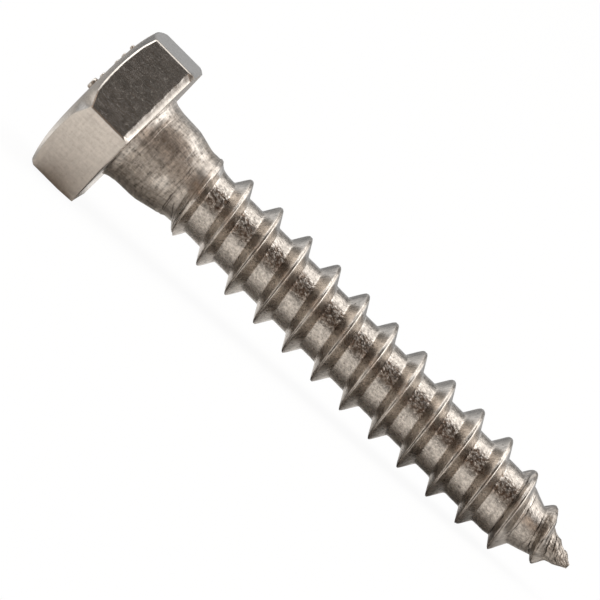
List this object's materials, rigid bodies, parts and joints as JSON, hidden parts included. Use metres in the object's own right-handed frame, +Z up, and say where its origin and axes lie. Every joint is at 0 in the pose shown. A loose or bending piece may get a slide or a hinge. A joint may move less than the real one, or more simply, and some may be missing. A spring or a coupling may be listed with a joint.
{
  "type": "hex lag bolt",
  "caption": "Hex-headed steel lag bolt with a short plain shank, coarse wood thread and gimlet point, driven into timber by a spanner.",
  "frame": {"origin": "on the surface the bolt lies on, under the middle of its box", "axes": "+X from the head towards the point, +Z up; the bolt lies on one flat of its head and on its thread near the point, so its own axis dips 4.2 degrees from +X"},
  "size_m": [0.0422, 0.0126, 0.0112],
  "materials": {
    "steel": "bare stainless steel, cold headed and rolled"
  },
  "bodies": {
    "root": {"lag_bolt": "steel"}
  },
  "joints": []
}
